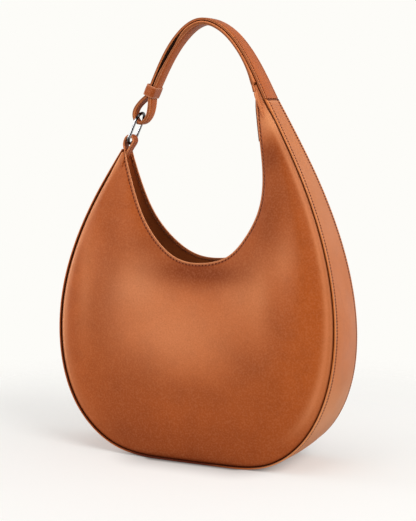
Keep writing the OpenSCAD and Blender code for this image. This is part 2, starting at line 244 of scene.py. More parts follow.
def in_space(origin, across, depth, rings):
    """Rings of (across, depth) pairs put at each station's origin along its two directions."""
    return (origin[:, None] + rings[..., :1] * across[:, None] + rings[..., 1:] * depth[:, None])


def space(xz):
    """A point or direction in XZ as one in XYZ."""
    return np.stack([xz[..., 0], np.zeros(xz.shape[:-1]), xz[..., 1]], -1)


Y = np.array([0.0, 1.0, 0.0])


# Meshes

def skin(name, rings, closed=False, traits=None):
    """Mesh over a row of rings: a quad between each two points of neighbouring rings, and a flat
    face over each open end. The signed volume decides which way the faces run."""
    rows, around = rings.shape[:2]
    index = np.arange(rows * around).reshape(rows, around)
    a = index if closed else index[:-1]
    b = np.roll(index, -1, 0) if closed else index[1:]
    quads = np.stack([a, b, np.roll(b, -1, 1), np.roll(a, -1, 1)], -1).reshape(-1, 4)
    points = rings.reshape(-1, 3)
    p = points[quads]
    volume = ((np.cross(p[:, 0], p[:, 1]) * p[:, 2]).sum()
              + (np.cross(p[:, 0], p[:, 2]) * p[:, 3]).sum())
    flip = volume < 0
    faces = (quads[:, ::-1] if flip else quads).tolist()
    caps = [] if closed else [index[0], index[-1][::-1]]
    faces += [(cap[::-1] if flip else cap).tolist() for cap in caps]
    mesh = bpy.data.meshes.new(name)
    mesh.from_pydata((points * MM).tolist(), [], faces)
    level = np.ones(len(faces), bool)
    level[len(quads):] = False
    mesh.polygons.foreach_set("use_smooth", level)
    for trait, values in (traits or {}).items():
        layer = mesh.attributes.new(trait, "FLOAT", "POINT")
        layer.data.foreach_set("value", np.asarray(values, np.float32).reshape(-1))
    mesh.update()
    piece = bpy.data.objects.new(name, mesh)
    bpy.context.collection.objects.link(piece)
    return piece


def place(piece, body, slot, material, *nodes):
    """Gives a piece its finish and its body, and hides the solids that it stands for."""
    piece.data.materials.append(material)
    if nodes:
        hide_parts(*nodes)
    if body:
        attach(piece, body)
    return piece


def stitches(name, middle, way, out, length, body, slot, material):
    """Rows of short threads. Each is five rings of five points that arch out of the surface and
    dip back in at both ends."""
    side = np.cross(way, out)
    along = np.array([-0.5, -0.3, 0.0, 0.3, 0.5]) * length
    high = np.array([-0.45, 0.1, 0.2, 0.1, -0.45])
    slant = np.array([-0.14, -0.08, 0.0, 0.08, 0.14])
    spine = (middle[:, None] + along[None, :, None] * way[:, None] + high[None, :, None] * out[:, None]
             + slant[None, :, None] * side[:, None])
    turn = np.arange(5) / 5 * 2 * np.pi
    tube = (spine[:, :, None] + THREAD_R * (np.cos(turn)[None, None, :, None] * out[:, None, None]
                                            + np.sin(turn)[None, None, :, None] * side[:, None, None]))
    count = len(middle)
    index = np.arange(count * 25).reshape(count, 5, 5)
    a, b = index[:, :-1], index[:, 1:]
    quads = np.stack([a, np.roll(a, -1, 2), np.roll(b, -1, 2), b], -1).reshape(-1, 4)
    faces = quads.tolist() + index[:, 0, ::-1].tolist() + index[:, -1].tolist()
    mesh = bpy.data.meshes.new(name)
    mesh.from_pydata((tube.reshape(-1, 3) * MM).tolist(), [], faces)
    mesh.polygons.foreach_set("use_smooth", np.ones(len(faces), bool))
    mesh.update()
    piece = bpy.data.objects.new(name, mesh)
    bpy.context.collection.objects.link(piece)
    return place(piece, body, slot, material)


# Finishes

def rgb(red, green, blue):
    """Screen colour, 0 to 255, as the linear one that a shader takes."""
    c = np.array([red, green, blue]) / 255
    c = np.where(c <= 0.04045, c / 12.92, ((c + 0.055) / 1.055) ** 2.4)
    return (*c.tolist(), 1.0)


class Wire:
    """A socket in a material. Sums, products and powers of wires add Math nodes."""

    def __init__(self, tree, socket):
        self.tree, self.socket = tree, socket

    def math(self, operation, *others, clamp=False):
        node = self.tree.nodes.new("ShaderNodeMath")
        node.operation, node.use_clamp = operation, clamp
        for socket, item in zip(node.inputs, (self, *others)):
            feed(self.tree, socket, item)
        return Wire(self.tree, node.outputs[0])

    def __add__(self, other):
        return self.math("ADD", other)

    def __sub__(self, other):
        return self.math("SUBTRACT", other)

    def __rsub__(self, other):
        return self * -1.0 + other

    def __mul__(self, other):
        return self.math("MULTIPLY", other)

    def __truediv__(self, other):
        return self.math("DIVIDE", other)

    def __pow__(self, other):
        return self.math("POWER", other)

    __radd__ = __add__
    __rmul__ = __mul__


def feed(tree, socket, item):
    """Links a wire to a socket, or sets a plain value on it."""
    if isinstance(item, Wire):
        tree.links.new(item.socket, socket)
    else:
        socket.default_value = item


class Finish:
    """A material under construction."""

    def __init__(self, name):
        self.material = bpy.data.materials.new(name)
        self.material.use_nodes = True
        self.tree = self.material.node_tree
        self.shader = self.tree.nodes["Principled BSDF"]

    def node(self, kind, settings=None, inputs=None, output=0):
        """Adds a node: its settings first, then its sockets."""
        node = self.tree.nodes.new(kind)
        for key, item in (settings or {}).items():
            setattr(node, key, item)
        for key, item in (inputs or {}).items():
            feed(self.tree, node.inputs[key], item)
        return Wire(self.tree, node.outputs[output])

    def trait(self, name):
        return self.node("ShaderNodeAttribute", {"attribute_name": name}, output="Fac")

    def place(self):
        return self.node("ShaderNodeTexCoord", output="Object")

    def noise(self, scale, detail, rough=0.5):
        return self.node("ShaderNodeTexNoise", None,
                         {"Vector": self.place(), "Scale": scale, "Detail": detail,
                          "Roughness": rough})

    def cells(self, scale):
        return self.node("ShaderNodeTexVoronoi", {"feature": "SMOOTH_F1"},
                         {"Vector": self.place(), "Scale": scale})

    def ramp(self, item, low, high):
        """0 below low, 1 above high, smooth between."""
        return self.node("ShaderNodeMapRange", {"interpolation_type": "SMOOTHSTEP"},
                         {"Value": item, "From Min": low, "From Max": high})

    def mix(self, factor, first, second):
        return self.node("ShaderNodeMix", {"data_type": "RGBA"},
                         {0: factor, 6: first, 7: second}, output=2)

    def bump(self, height, distance, strength):
        return self.node("ShaderNodeBump", None,
                         {"Height": height, "Distance": distance, "Strength": strength},
                         output="Normal")

    def done(self, **sockets):
        for key, item in sockets.items():
            feed(self.tree, self.shader.inputs[key.replace("_", " ")], item)
        return self.material


# Tint of the shine on leather, and the colours in its stitch holes and along its seams
SHEEN = (1.0, 0.55, 0.35, 1.0)
HOLE, CREASE = (98, 34, 12), (80, 22, 6)


def leather(name, colour, deep, pale, pitch=0.0, offset=0.0, rough=0.36,
            gloss=0.42, grain=0.3, stretch=1.0, fleck=0.2):
    """Smooth fine-grained leather. Three sizes of noise vary the colour, and cells with fine noise
    make the grain. The trait groove darkens seams, and on the gusset also paints shade along the base
    and at the seam by the strap. The trait pale lightens edges, and paints highlights along the
    panels' feet and on the gusset's crease and the ridge before its seam. Two more traits paint
    highlights and shade over whole areas, and a row of stitch holes is drawn by the distances along
    and across."""
    f = Finish(name)
    clouds = f.noise(9.0, 3.0, 0.55)
    mottle = f.noise(60.0, 4.0, 0.6)
    speck = f.noise(750.0, 3.0, 0.65)
    cells = f.cells(620.0)
    colour = f.mix(f.ramp(clouds, 0.35, 0.7) * 0.25, rgb(*colour), rgb(*deep))
    colour = f.mix(f.ramp(mottle, 0.4, 0.75) * 0.2, colour, rgb(*deep))
    # Painted highlights and painted shade over whole areas
    colour = f.mix(f.trait("painted_highlight") * 0.75, colour, rgb(*pale))
    colour = f.mix(f.trait("painted_shade") * 0.95, colour, rgb(*deep))
    colour = f.mix(f.ramp(speck, 0.42, 0.72) * fleck, colour, rgb(*deep))
    colour = f.mix(f.ramp(cells, 0.25, 0.75) * 0.1, colour, rgb(*pale))
    groove = f.trait("groove")
    edge = f.trait("pale")
    colour = f.mix(edge, colour, rgb(*pale))
    height = cells * 0.5 + speck * 0.4 + mottle * 0.8
    if pitch:
        along, across = f.trait("along"), f.trait("across")
        phase = (along / pitch + 0.5).math("FRACT") - 0.5
        away = ((phase * pitch) ** 2.0 + ((across - offset) / stretch) ** 2.0).math("SQRT")
        hole = 1.0 - f.ramp(away, 0.75, 1.3)
        channel = 1.0 - f.ramp((across - offset).math("ABSOLUTE"), 0.3, 1.2)
        colour = f.mix(channel * 0.8, colour, rgb(*deep))
        colour = f.mix(hole, colour, rgb(*HOLE))
        height = height - hole * 3.0
    colour = f.mix(groove, colour, rgb(*CREASE))
    shine = (f.ramp(f.noise(25.0, 3.0), 0.3, 0.7) * 0.08 + rough - edge * 0.06 + groove * 0.3
             + f.trait("painted_shade") * 0.2)
    return f.done(Base_Color=colour, Roughness=shine, Normal=f.bump(height, 0.0004, grain),
                  Specular_IOR_Level=gloss, Specular_Tint=SHEEN)


def thread_finish(name, colour):
    """Waxed thread: a twist of fine diagonal bands over a plain colour."""
    f = Finish(name)
    twist = f.node("ShaderNodeTexWave", {"wave_type": "BANDS", "bands_direction": "DIAGONAL"},
                   {"Vector": f.place(), "Scale": 900.0, "Distortion": 1.0})
    tone = f.mix(twist * 0.5, rgb(*colour), rgb(*[c * 0.55 for c in colour]))
    return f.done(Base_Color=tone, Roughness=0.55 + twist * 0.1, Normal=f.bump(twist, 0.0001, 0.5))


def cloth_finish(name, colour):
    """Suede cloth: fine fibres from stretched noise, and soft patches of nap."""
    f = Finish(name)
    nap = f.noise(30.0, 4.0, 0.6)
    fibre = f.noise(1500.0, 3.0, 0.7)
    tone = f.mix(nap * 0.5 + fibre * 0.4, rgb(*colour), rgb(*[c * 0.5 for c in colour]))
    return f.done(Base_Color=tone, Roughness=0.9 - nap * 0.1, Normal=f.bump(fibre + nap, 0.0003, 0.5))


def metal_finish(name, colour, rough):
    """Polished metal with faint hairlines and a little haze, with painted shade and dark reflection
    where a trait asks for them.
    """
    f = Finish(name)
    haze = f.noise(120.0, 4.0, 0.6)
    lines = f.noise(2500.0, 1.0)
    tone = f.mix(haze * 0.25, rgb(*colour), rgb(*[c * 0.82 for c in colour]))
    # Painted shade and dark reflection
    tone = f.mix(f.trait("painted_shade_and_reflection") * 0.9, tone, rgb(34, 26, 24))
    return f.done(Base_Color=tone, Metallic=1.0, Roughness=rough + haze * 0.06,
                  Normal=f.bump(lines, 0.00002, 0.3))


def board_finish(name):
    """Grey fibreboard with specks."""
    f = Finish(name)
    speck = f.noise(400.0, 5.0, 0.7)
    tone = f.mix(speck, rgb(92, 84, 76), rgb(60, 54, 48))
    return f.done(Base_Color=tone, Roughness=0.85 + speck * 0.1, Normal=f.bump(speck, 0.0002, 0.5))


TAN, DEEP, PALE = (182, 87, 33), (127, 51, 14), (238, 156, 105)
panel_leather = leather("panel_leather", TAN, DEEP, PALE, RIM_PITCH, RIM_STITCH)
gusset_leather = leather("gusset_leather", (203, 109, 46), (160, 78, 32), (236, 158, 102),
                         GUSSET_PITCH, GUSSET_STITCH, gloss=0.5, stretch=2.0)
strap_leather = leather("strap_leather", (190, 94, 36), DEEP, PALE, GUSSET_PITCH, STRAP_STITCH,
                        gloss=0.15, grain=0.03, fleck=0.04)
plain_leather = leather("plain_leather", (180, 84, 34), DEEP, PALE, gloss=0.2, grain=0.05)
keeper_leather = leather("keeper_leather", (172, 84, 38), (132, 60, 26), (236, 168, 130),
                         gloss=0.25, grain=0.05)
# Lighter than the panels' leather: painted light on the shaded inside of the mouth
facing_leather = leather("facing_leather", (204, 104, 50), (110, 50, 20), (214, 132, 88),
                         RIM_PITCH, RIM_STITCH, 0.55)
# Darker than the strap's leather: edge paint and painted shade
throat_leather = leather("throat_leather", (124, 60, 30), (80, 34, 14), (180, 104, 66))
# Near black, as the shade in the gap between the strap's layers
gap_shade_leather = leather("gap_shade_leather", (30, 12, 7), (18, 7, 4), (50, 22, 12), gloss=0.1)
thread = thread_finish("thread", (186, 100, 54))
pale_thread = thread_finish("pale_thread", (190, 108, 66))
inner_thread = thread_finish("inner_thread", (150, 86, 50))
lining_cloth = cloth_finish("lining_cloth", (70, 40, 26))
pocket_cloth = cloth_finish("pocket_cloth", (84, 48, 32))
chrome = metal_finish("chrome", (206, 206, 208), 0.05)
brass = metal_finish("brass", (214, 180, 110), 0.2)


# Gusset

EDGE_STEPS = np.array([1.0, 1.5, 2.1, 2.8, 3.5, 4.0, 4.3, 4.6, 4.9, 5.2, 5.8, 6.6, 7.6])
STITCH_COLUMN = 7


def gusset_section(length):
    """Outer face of the gusset: across from the front edge to the back, and depth. The face
    swells by 1 less the square of its share and ripples a little, rises in a soft ridge at each
    edge, and dips in a channel under each row of stitches."""
    half = gusset_width(length)[:, None] / 2
    middle = np.linspace(0, 1, 22)[None, 1:-1]
    first = -half + EDGE_STEPS[None]
    last = first[:, -1:]
    across = np.concatenate([first, last + (-2 * last) * middle, -first[:, ::-1]], 1)
    from_edge = half - np.abs(across)
    k = across / half
    ridge = -0.35 * hump(from_edge, 2.2, 1.5)
    channel = 0.42 * hump(from_edge, GUSSET_STITCH, 0.75)
    waves = 0.25 * np.sin(length / 17.0)[:, None] * np.cos(length / 41.0)[:, None] * (1 - k * k)
    swell = -gusset_swell(length)[:, None] * (1 - k * k)
    step = lap_step(length)[:, None]
    depth = swell + ridge + channel + waves + step
    return np.stack([across, depth], -1), from_edge


def gusset_axes(length):
    way = outline.way(np.clip(length, 0, outline.total))
    return space(outline.at(length)), space(left_of(way))


def make_gusset():
    """Strip along the outline. Its thickness grows near the seam, where the end is folded under
    the strap, and thins towards the end of the tongue."""
    length = np.unique(np.concatenate([
        np.linspace(0.6, outline.total - 6, 560), np.linspace(outline.total - 6, outline.total, 28),
        np.linspace(outline.total, gusset_l, 18)]))
    section, from_edge = gusset_section(length)
    thick = GUSSET_T + lap_ramp(length) - lap_step(length)
    thick = thick - 0.9 * smooth((length - outline.total) / TONGUE)
    skived = GUSSET_T - lip(length) + edge_rise(length)
    skived = skived[:, None] * (1 - smooth((from_edge - 6.5) / 5))
    rings, kept = wrap(section, np.maximum(thick[:, None] - skived, 0.5), 2)
    origin, depth = gusset_axes(length)
    inner = np.zeros(section.shape[:2])
    along = np.broadcast_to(length[:, None], section.shape[:2])
    count = section.shape[1]
    groove = spread(inner, kept)
    groove[:, count + 2:count + 4] = 0.75
    groove[:, count + 4:-4] = 1.0
    groove[:, -4:-2] = 0.75
    # Dark line at the seam by the strap: seam colour and painted shade of the fold
    seam = hump(along, outline.total - OVERLAP - 1.2, 1.1)
    groove[:, :count] = np.maximum(groove[:, :count], 0.9 * seam)
    x, _, z = origin.T[:, :, None]
    # Painted shade along the bottom of the lips at the base, fading out towards the right
    shade = smooth((6 - z) / 5) * smooth((70 - x) / 50)
    groove = np.maximum(groove, shade * smooth((3 - np.minimum(spread(from_edge, kept), 3)) / 0.6))
    # Painted light on the lower right of the gusset, and a little on its upper right
    lit = 0.9 * smooth((130 - z) / 80) + 0.3 * smooth((z - 200) / 90)
    painted_highlight = 0 * groove + lit * smooth((x - 60) / 50)
    pale = np.zeros_like(groove)
    # Lighter edges, and painted highlights on the crease by the stitches and on the ridge before the
    # seam
    pale[:, :count] = 0.55 * np.clip(1 - (from_edge - 1.0) / 1.2, 0, 1) * (1 - seam)
    pale[:, :count] += (0.4 * hump(along, outline.total - OVERLAP - 3.6, 0.8)
                        + 0.7 * hump(from_edge, 3.1, 0.55))
    piece = skin("gusset_leather_strip",
                 in_space(origin, np.broadcast_to(Y, origin.shape), depth, rings),
                 traits={"along": spread(along, kept), "across": spread(from_edge, kept),
                         "groove": groove, "pale": pale, "painted_highlight": painted_highlight, "painted_shade": 0 * groove})
    place(piece, "bag", "gusset_leather", gusset_leather, "gusset")
    span = np.arange(20 * GUSSET_PITCH, outline.total - 12, GUSSET_PITCH) - GUSSET_PITCH / 2
    section, _ = gusset_section(span)
    normal = inward(section)
    origin, depth = gusset_axes(span)
    way = space(outline.way(span))
    for name, column in (("front", STITCH_COLUMN), ("back", -1 - STITCH_COLUMN)):
        spot = section[:, column]
        middle = origin + spot[:, :1] * Y + spot[:, 1:] * depth
        out = -(normal[:, column, :1] * Y + normal[:, column, 1:] * depth)
        stitches(name + "_gusset_stitches", middle, way, out, GUSSET_PITCH - 1.5,
                 "bag", "gusset_leather", pale_thread)


# Panels

RIM_STEPS = np.array([0.85, 1.15, 1.5, 1.9, 2.3, 2.6, 2.85, 3.05, 3.2, 3.4, 3.7, 4.2, 5.0, 6.0, 7.4,
                      9.0])
RIM_STITCH_COLUMN = 8
FOOT_STEPS = np.array([13.0, 10.6, 8.8, 7.3, 6.1, 5.0, 4.0])
SLOPE_SHARES = [0, 0.05, 0.12, 0.22, 0.42, 0.53, 0.64, 0.8, 1.0]
SLOPES = [0.30, 0.27, 0.13, 0.085, 0.05, 0.02, -0.06, -0.12, -0.25]
share_table = np.linspace(0, 1, 2001)
slope_table = np.interp(share_table, SLOPE_SHARES, SLOPES)
slope_table = np.convolve(np.pad(slope_table, 60, "edge"), np.ones(121) / 121, "valid")
rise_table = np.concatenate([[0], np.cumsum((slope_table[1:] + slope_table[:-1]) / 2)]) / 2000
rise_table -= share_table * rise_table[-1]


def panel_frame(t):
    """Rim point, direction from there to the gusset, and distance, for shares t of the mouth."""
    top = rim.at(t * rim.total)
    length = t * gusset_l
    run = gusset_place(length, lip(length) + SEAM - edge_rise(length)) - top
    reach = np.linalg.norm(run, axis=1)
    return top, run / reach[:, None], reach


def slant(t):
    """How square the lines from rim to gusset stand on the rim and on the gusset, 1 when square."""
    _, run, _ = panel_frame(t)
    square = [np.abs((left_of(line.way(np.clip(length, 0, line.total))) * run).sum(1))
              for line, length in ((rim, t * rim.total), (outline, t * gusset_l))]
    return np.clip(square[0], 0.4, 1)[:, None], np.clip(square[1], 0.4, 1)[:, None]


def panel_section(t):
    """Outer face of the front panel: distance from the rim, and Y. The face runs straight from
    the rim's half gap to the gusset's half width, swelled by the sum of the slopes in the table
    and slightly uneven, with a bead and a channel along the rim. At its foot a quarter of an
    ellipse, ROLL deep, is added to the straight run of its last slope, so that it rolls into the
    groove."""
    _, _, reach = panel_frame(t)
    length = t * gusset_l
    tight = np.tanh(reach / 13)[:, None]
    near = np.tanh(reach / 40)[:, None]
    on_rim, on_gusset = slant(t)
    first = (np.minimum(RIM_STEPS, 5.5) + np.maximum(RIM_STEPS - 5.5, 0) * near) * tight / on_rim
    foot = reach[:, None] - (FOOT_STEPS[-1] + (FOOT_STEPS - FOOT_STEPS[-1]) * near) * tight / on_gusset
    middle = np.linspace(0, 1, 64)[None, 1:-1]
    w = np.concatenate([first, first[:, -1:] + (foot[:, :1] - first[:, -1:]) * middle, foot], 1)
    v = w / reach[:, None]
    gap = value(MOUTH_GAPS, t)[:, None] / 2
    side = (gusset_width(length) / 2 - inset(length))[:, None]
    flat = gap + (side - gap) * v
    swell = np.interp(v, share_table, rise_table) * reach[:, None]
    soft = (0.7 * np.sin(7 * t)[:, None] * np.sin(np.pi * v) ** 2 * np.cos(9 * v + 5 * t[:, None])
            * tight)
    from_rim = w * on_rim / tight
    bead = (0.38 * hump(from_rim, 1.7, 1.2) - 0.45 * hump(from_rim, RIM_STITCH, 0.6)) * tight
    y = -(flat + swell + soft + bead)
    slope = ((y[:, -1] - y[:, -2]) / (w[:, -1] - w[:, -2]))[:, None]
    turn = np.linspace(0, np.pi / 2, 10)[None, 1:]
    out = (reach[:, None] - w[:, -1:]) * np.sin(turn)
    rolled = np.stack([w[:, -1:] + out,
                       y[:, -1:] + slope * out + ROLL * tight * (1 - np.cos(turn))], -1)
    tail = rolled[:, -1:] + np.array([[[0, 1.2], [0, 2.6]]])
    section = np.concatenate([np.stack([w, y], -1), rolled, tail], 1)
    return section, section[..., 0] * on_rim / tight


def panel_axes(t):
    top, run, _ = panel_frame(t)
    return space(top), space(run)


def painted_patches(x, z, patches):
    """Sum of soft oval patches, each a bell curve about a place in XZ, at most 1."""
    total = sum(amount * np.exp(-((x - px) / rx) ** 2 - ((z - pz) / rz) ** 2)
                for px, pz, rx, rz, amount in patches)
    return np.clip(total, 0, 1)


# Place across and up, half width, half height and strength of the patches of painted highlight and of
# painted shade
HIGHLIGHT_PATCHES = [(-15, 137, 75, 45, 0.5), (-66, 190, 38, 30, 0.5), (62, 190, 24, 30, 0.35),
             (-130, 195, 11, 60, 0.3), (84, 185, 14, 40, 0.3), (108, 222, 14, 24, 0.35),
             (88, 366, 14, 16, 1.2)]
SHADE_PATCHES = [(-8, 205, 48, 17, 0.9), (-50, 232, 22, 14, 0.4), (30, 203, 34, 12, 0.5),
           (-102, 195, 18, 80, 0.3), (-76, 62, 40, 45, 0.35), (72, 112, 24, 22, 0.4),
           (-50, 105, 30, 20, 0.2), (104, 156, 18, 26, 0.3), (10, 78, 60, 18, 0.35),
           (-74, 20, 26, 16, 0.2), (86, 250, 18, 32, 0.45), (96, 290, 20, 30, 0.4),
           (86, 328, 16, 18, 0.8), (60, 215, 20, 20, 0.3), (0, 10, 130, 42, 0.5),
           (0, -3, 190, 9, 0.9)]
MIRROR = np.array([1, -1, 1])
# Shares of the mouth's length, close together at the two tips
STATIONS = np.unique(np.concatenate([np.linspace(0.004, 0.06, 40), np.linspace(0.06, 0.92, 330),
                                     np.linspace(0.92, 1.0, 60)]))


def make_panels():
    """Both panels, the back one mirrored, and the stitches along their rims."""
    section, from_rim = panel_section(STATIONS)
    _, _, reach = panel_frame(STATIONS)
    thin = PANEL_T * np.clip(reach / 14, 0.25, 1)[:, None]
    skived = 1 - 0.45 * smooth((section[..., 0] - reach[:, None] + 6) / 5)
    rings, kept = wrap(section, thin * skived, 3)
    origin, run = panel_axes(STATIONS)
    count = section.shape[1]
    w = section[..., 0]
    t = STATIONS[:, None] + 0 * w
    groove = np.zeros_like(w)
    lit_side = 1 - smooth((t - 0.3) / 0.25)
    # Dark seam colour in the groove at the foot, painted less dark on the left, where the light falls
    groove[:, -11:] = (np.array([0, 0, 0, 0.1, 0.3, 0.65, 0.9, 1, 1, 1, 1])
                       * (1 - 0.45 * lit_side[:, -1:]))
    x = origin[:, :1] + w * run[:, :1]
    z = origin[:, 2:] + w * run[:, 2:]
    # Painted highlights along the panels' feet, strongest on the left and fading towards the base, and
    # a broad one on the right
    foot_highlight = (0.4 + 0.6 * lit_side) * smooth((z - 10) / 150)
    from_foot = (reach[:, None] - w) / np.clip(reach[:, None] / 20, 0.1, 1)
    pale = foot_highlight * (0.85 * hump(from_foot, 4.0, 2.6) + 0.35 * lit_side * hump(from_foot, 9.0, 6.0))
    pale += 0.4 * (1 - lit_side) * hump(from_foot, 13.0, 7.0) * smooth((z - 20) / 60)
    pale += 0.9 * hump(from_rim, 0.8, 0.5) + 0.5 * hump(from_rim, 2.0, 0.4)
    groove += 0.45 * hump(from_rim, 1.3, 0.3)
    groove = spread(groove, kept)
    groove[:, count:count + 4] = 1
    pale = spread(pale, kept)
    pale[:, -4:] = np.array([0.1, 0.9, 0.95, 0.7])
    groove[:, -4:] = np.array([0.7, 0.1, 0, 0])
    # Painted highlights and painted shade over whole areas of the panels
    painted_highlight, painted_shade = painted_patches(x, z, HIGHLIGHT_PATCHES), painted_patches(x, z, SHADE_PATCHES)
    along = t * rim.total
    across = spread(from_rim, kept)
    across[:, count:] = 30.0
    traits = {"along": spread(along, kept), "across": across, "groove": groove, "pale": pale,
              "painted_highlight": spread(painted_highlight, kept), "painted_shade": spread(painted_shade, kept)}
    front = in_space(origin, run, np.broadcast_to(Y, origin.shape), rings)
    span = np.arange(2.5 * RIM_PITCH, rim.total - 22, RIM_PITCH)
    seam, _ = panel_section(span / rim.total)
    normal = inward(seam)[:, RIM_STITCH_COLUMN]
    spot = seam[:, RIM_STITCH_COLUMN]
    seam_origin, seam_run = panel_axes(span / rim.total)
    middle = seam_origin + spot[:, :1] * seam_run + spot[:, 1:] * Y
    out = -(normal[:, :1] * seam_run + normal[:, 1:] * Y)
    way = unit(np.gradient(middle, axis=0))
    for name, turn in (("front", np.ones(3)), ("back", MIRROR)):
        piece = skin(name + "_leather_panel", front * turn, traits=traits)
        place(piece, "bag", "panel_leather", panel_leather, name + "_panel")
        stitches(name + "_rim_stitches", middle * turn, way * turn, out * turn, RIM_PITCH - 1.3,
                 "bag", "panel_leather", thread)


# Depths behind the panel's outer face of the facing and of the lining
FACING_DEPTH = PANEL_T + 0.2
LINING_DEPTH = PANEL_T + 0.6
FACING_START, FACING_REACH = 0.75, 24


def layer_section(t, start, end, depth, count):
    """Rows behind the panel's outer face, from start to end below the rim, at a depth."""
    section, _ = panel_section(t)
    body = section[:, :-11]
    deep = body + depth * inward(section)[:, :-11]
    share = np.linspace(0, 1, count)[None]
    w = start[:, None] + (end - start)[:, None] * share
    rows = [np.stack([np.interp(w[i], deep[i, :, 0], deep[i, :, 0]),
                      np.interp(w[i], deep[i, :, 0], deep[i, :, 1])], -1) for i in range(len(t))]
    return np.array(rows), w


def make_facings():
    """Facings behind the rims, with the row of stitches that comes through the panel."""
    t = np.linspace(0.02, 0.985, 300)
    _, _, reach = panel_frame(t)
    start = np.full_like(t, FACING_START)
    foot = np.minimum(FACING_REACH, 0.8 * reach)
    section, w = layer_section(t, start, foot, FACING_DEPTH, 30)
    rings, kept = wrap(section, FACING_T, 1)
    origin, run = panel_axes(t)
    along = t[:, None] * rim.total + 0 * w
    pale = spread(0 * w, kept)
    groove = spread(0 * w, kept)
    pale[:, -4:] = np.array([0.6, 0.95, 0.9, 0.1])
    groove[:, -4:] = np.array([0, 0, 0.1, 0.7])
    front = in_space(origin, run, np.broadcast_to(Y, origin.shape), rings)
    traits = {"along": spread(along, kept), "across": spread(w, kept), "groove": groove,
              "pale": pale, "painted_highlight": 0 * groove, "painted_shade": 0 * groove}
    span = np.arange(3.5 * RIM_PITCH, rim.total - 60, RIM_PITCH) + RIM_PITCH / 2
    ts = span / rim.total
    seam, _ = layer_section(ts, np.full_like(ts, RIM_STITCH - 0.4),
                            np.full_like(ts, RIM_STITCH + 0.4), FACING_DEPTH + FACING_T, 3)
    seam_origin, seam_run = panel_axes(ts)
    middle = seam_origin + seam[:, 1, :1] * seam_run + seam[:, 1, 1:] * Y
    out = np.broadcast_to(Y, middle.shape)
    way = unit(np.gradient(middle, axis=0))
    for name, turn in (("front", np.ones(3)), ("back", MIRROR)):
        piece = skin(name + "_facing_leather", front * turn, traits=traits)
        place(piece, "bag", "facing_leather", facing_leather, name + "_facing")
        stitches(name + "_facing_stitches", middle * turn, way * turn, out * turn, RIM_PITCH - 1.3,
                 "bag", "facing_leather", inner_thread)


# Ends of the pocket as shares of the mouth, of the gusset's lining as shares of the gusset, and
# of the stretch along the gusset, near the base board, where the lining rises by BOARD_ROOM
POCKET_SHARES = (22 / 64, 38 / 64)
LINING_SHARES = (5 / 64, 58 / 64)
GUSSET_SPAN = 987
BOARD_START, BOARD_END = [k / 64 * GUSSET_SPAN for k in (26, 34)]
BOARD_ROOM, BOARD_RAMP = 1.8, 16
LINING_START, LINING_STOP = 24.6, 4.5


def make_linings():
    """Linings of the two panels and the gusset, and the pocket on the back one."""
    t = np.linspace(0.07, 0.93, 200)
    _, _, reach = panel_frame(t)
    origin, run = panel_axes(t)
    section, w = layer_section(t, np.minimum(LINING_START, 0.84 * reach), reach - LINING_STOP,
                               LINING_DEPTH, 40)
    ripple = 0.18 * np.sin(w / 9 + 8 * t[:, None]) * np.sin(30 * t[:, None])
    section[..., 1] += ripple + 0.2
    rings, _ = wrap(section, LINING_T, 1)
    front = in_space(origin, run, np.broadcast_to(Y, origin.shape), rings)
    for name, turn in (("front", np.ones(3)), ("back", MIRROR)):
        piece = skin(name + "_lining_cloth", front * turn)
        place(piece, "bag", "lining", lining_cloth, name + "_lining")
    t = np.linspace(*POCKET_SHARES, 70)
    _, _, reach = panel_frame(t)
    origin, run = panel_axes(t)
    section, w = layer_section(t, 0.3 * reach, 0.72 * reach, LINING_DEPTH + LINING_T + 0.7, 30)
    rings, _ = wrap(section, LINING_T, 1)
    pocket = in_space(origin, run, np.broadcast_to(Y, origin.shape), rings) * MIRROR
    place(skin("slip_pocket_cloth", pocket), "bag", "pocket", pocket_cloth, "slip_pocket")
    length = np.linspace(*LINING_SHARES, 220) * (outline.total + 12)
    half = (gusset_width(length) / 2 - inset(length) - PANEL_T - 0.4 - LINING_T - 0.4)[:, None]
    k = np.linspace(-1, 1, 24)[None]
    over = (BOARD_ROOM * smooth((length - BOARD_START) / BOARD_RAMP + 1)
            * smooth((BOARD_END - length) / BOARD_RAMP + 1))
    depth = (lap_ramp(length) + GUSSET_T + 0.25 + over)[:, None]
    depth = depth - gusset_swell(length)[:, None] * (1 - k * k)
    section = np.stack([half * k, depth + 0 * k], -1)
    rings, _ = wrap(section, LINING_T, 1)
    origin, deep = gusset_axes(length)
    strip = in_space(origin, np.broadcast_to(Y, origin.shape), deep, rings)
    place(skin("gusset_lining_cloth", strip), "bag", "lining", lining_cloth, "gusset_lining")


# Strap, tab, keeper and throat

strap_line = Line(STRAP_LINE)
lean = strap_line.way(np.array([strap_line.total]))[0]
strap_in = left_of(lean)
strap_foot = strap_line.places[-1]
INNER_END = 10.5
STRAP_SEWN = 74.0
PARTED_T = 1.9
# Slack between the strap's layers, and thickness of what lies outside the inner one at the tongue
LAYER_GAP, OVER_TONGUE_T = 0.7, 6.9
# Where, and over what length, the layers part, close up again and part for good
PARTING, CLOSING, OPENING = (138, 30), (178, 30), (222, 7)
CLOSED_SHARE = 0.6
LOOP_T = 3.2


def stack(length):
    return value(STACKS, length / strap_line.total)


def inner_layer(length):
    """Thickness of the strap's inner layer. By the horn it fills the room behind the outer layer,
    and over the tongue it is what the tongue leaves. Where the two part it thins to PARTED_T, by a
    smooth step, and for a stretch before the keeper it takes back CLOSED_SHARE of that."""
    filled = stack(length) - STRAP_T - LAYER_GAP
    over_tongue = stack(length) - OVER_TONGUE_T
    sewn = over_tongue + (filled - over_tongue) * smooth((length - TONGUE - 0.4) / 3)
    part, close, part_again = [smooth((length - start) / run)
                               for start, run in (PARTING, CLOSING, OPENING)]
    parted = part - CLOSED_SHARE * close + CLOSED_SHARE * part_again
    return sewn + (PARTED_T - sewn) * parted


